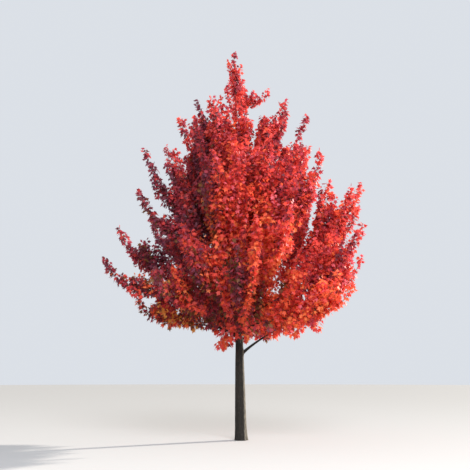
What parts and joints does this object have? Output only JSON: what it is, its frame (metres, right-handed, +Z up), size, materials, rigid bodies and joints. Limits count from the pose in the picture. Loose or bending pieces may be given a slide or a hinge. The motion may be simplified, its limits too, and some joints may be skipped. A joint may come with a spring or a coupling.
{
  "type": "red maple tree",
  "caption": "Young red maple in full autumn leaf: a straight trunk rooted in the ground, ascending boughs and an egg-shaped red crown drawn up to a narrow spire.",
  "frame": {"origin": "middle of the flat cut under the trunk, at ground level", "axes": "+Z up, the tree's longest extent; +X to the right of the pictured view, which looks along +Y"},
  "size_m": [5.1589, 4.3103, 7.4743],
  "materials": {
    "bark": "grey-brown bark with shallow upright ridges, matt",
    "scarlet_leaves": "bright scarlet autumn leaves, satin",
    "crimson_leaves": "dark crimson autumn leaves, satin",
    "orange_leaves": "orange-red autumn leaves, satin"
  },
  "bodies": {
    "root": {"trunk": "bark", "bough_low_1": "bark", "bough_low_2": "bark", "bough_low_3": "bark", "bough_low_4": "bark", "bough_low_5": "bark", "bough_low_6": "bark", "bough_low_7": "bark", "bough_wide_1": "bark", "bough_wide_2": "bark", "bough_wide_3": "bark", "bough_wide_4": "bark", "bough_wide_5": "bark", "bough_wide_6": "bark", "bough_wide_7": "bark", "bough_middle_1": "bark", "bough_middle_2": "bark", "bough_middle_3": "bark", "bough_middle_4": "bark", "bough_middle_5": "bark", "bough_middle_6": "bark", "bough_upper_1": "bark", "bough_upper_2": "bark", "bough_upper_3": "bark", "bough_upper_4": "bark", "foliage_low_1": "scarlet_leaves", "foliage_low_2": "scarlet_leaves", "foliage_low_3": "orange_leaves", "foliage_low_4": "crimson_leaves", "foliage_low_5": "crimson_leaves", "foliage_low_6": "scarlet_leaves", "foliage_low_7": "scarlet_leaves", "foliage_wide_1": "crimson_leaves", "foliage_wide_2": "crimson_leaves", "foliage_wide_3": "orange_leaves", "foliage_wide_4": "orange_leaves", "foliage_wide_5": "scarlet_leaves", "foliage_wide_6": "scarlet_leaves", "foliage_wide_7": "scarlet_leaves", "foliage_middle_1": "crimson_leaves", "foliage_middle_2": "orange_leaves", "foliage_middle_3": "orange_leaves", "foliage_middle_4": "scarlet_leaves", "foliage_middle_5": "scarlet_leaves", "foliage_middle_6": "crimson_leaves", "foliage_upper_1": "crimson_leaves", "foliage_upper_2": "orange_leaves", "foliage_upper_3": "scarlet_leaves", "foliage_upper_4": "scarlet_leaves", "foliage_top_1": "crimson_leaves", "foliage_top_2": "scarlet_leaves", "foliage_top_3": "crimson_leaves", "foliage_top_4": "crimson_leaves", "foliage_top_5": "scarlet_leaves", "foliage_top_6": "crimson_leaves", "foliage_top_7": "scarlet_leaves", "foliage_top_8": "crimson_leaves", "foliage_top_9": "scarlet_leaves", "foliage_top_10": "scarlet_leaves", "foliage_leader": "scarlet_leaves"}
  },
  "joints": []
}
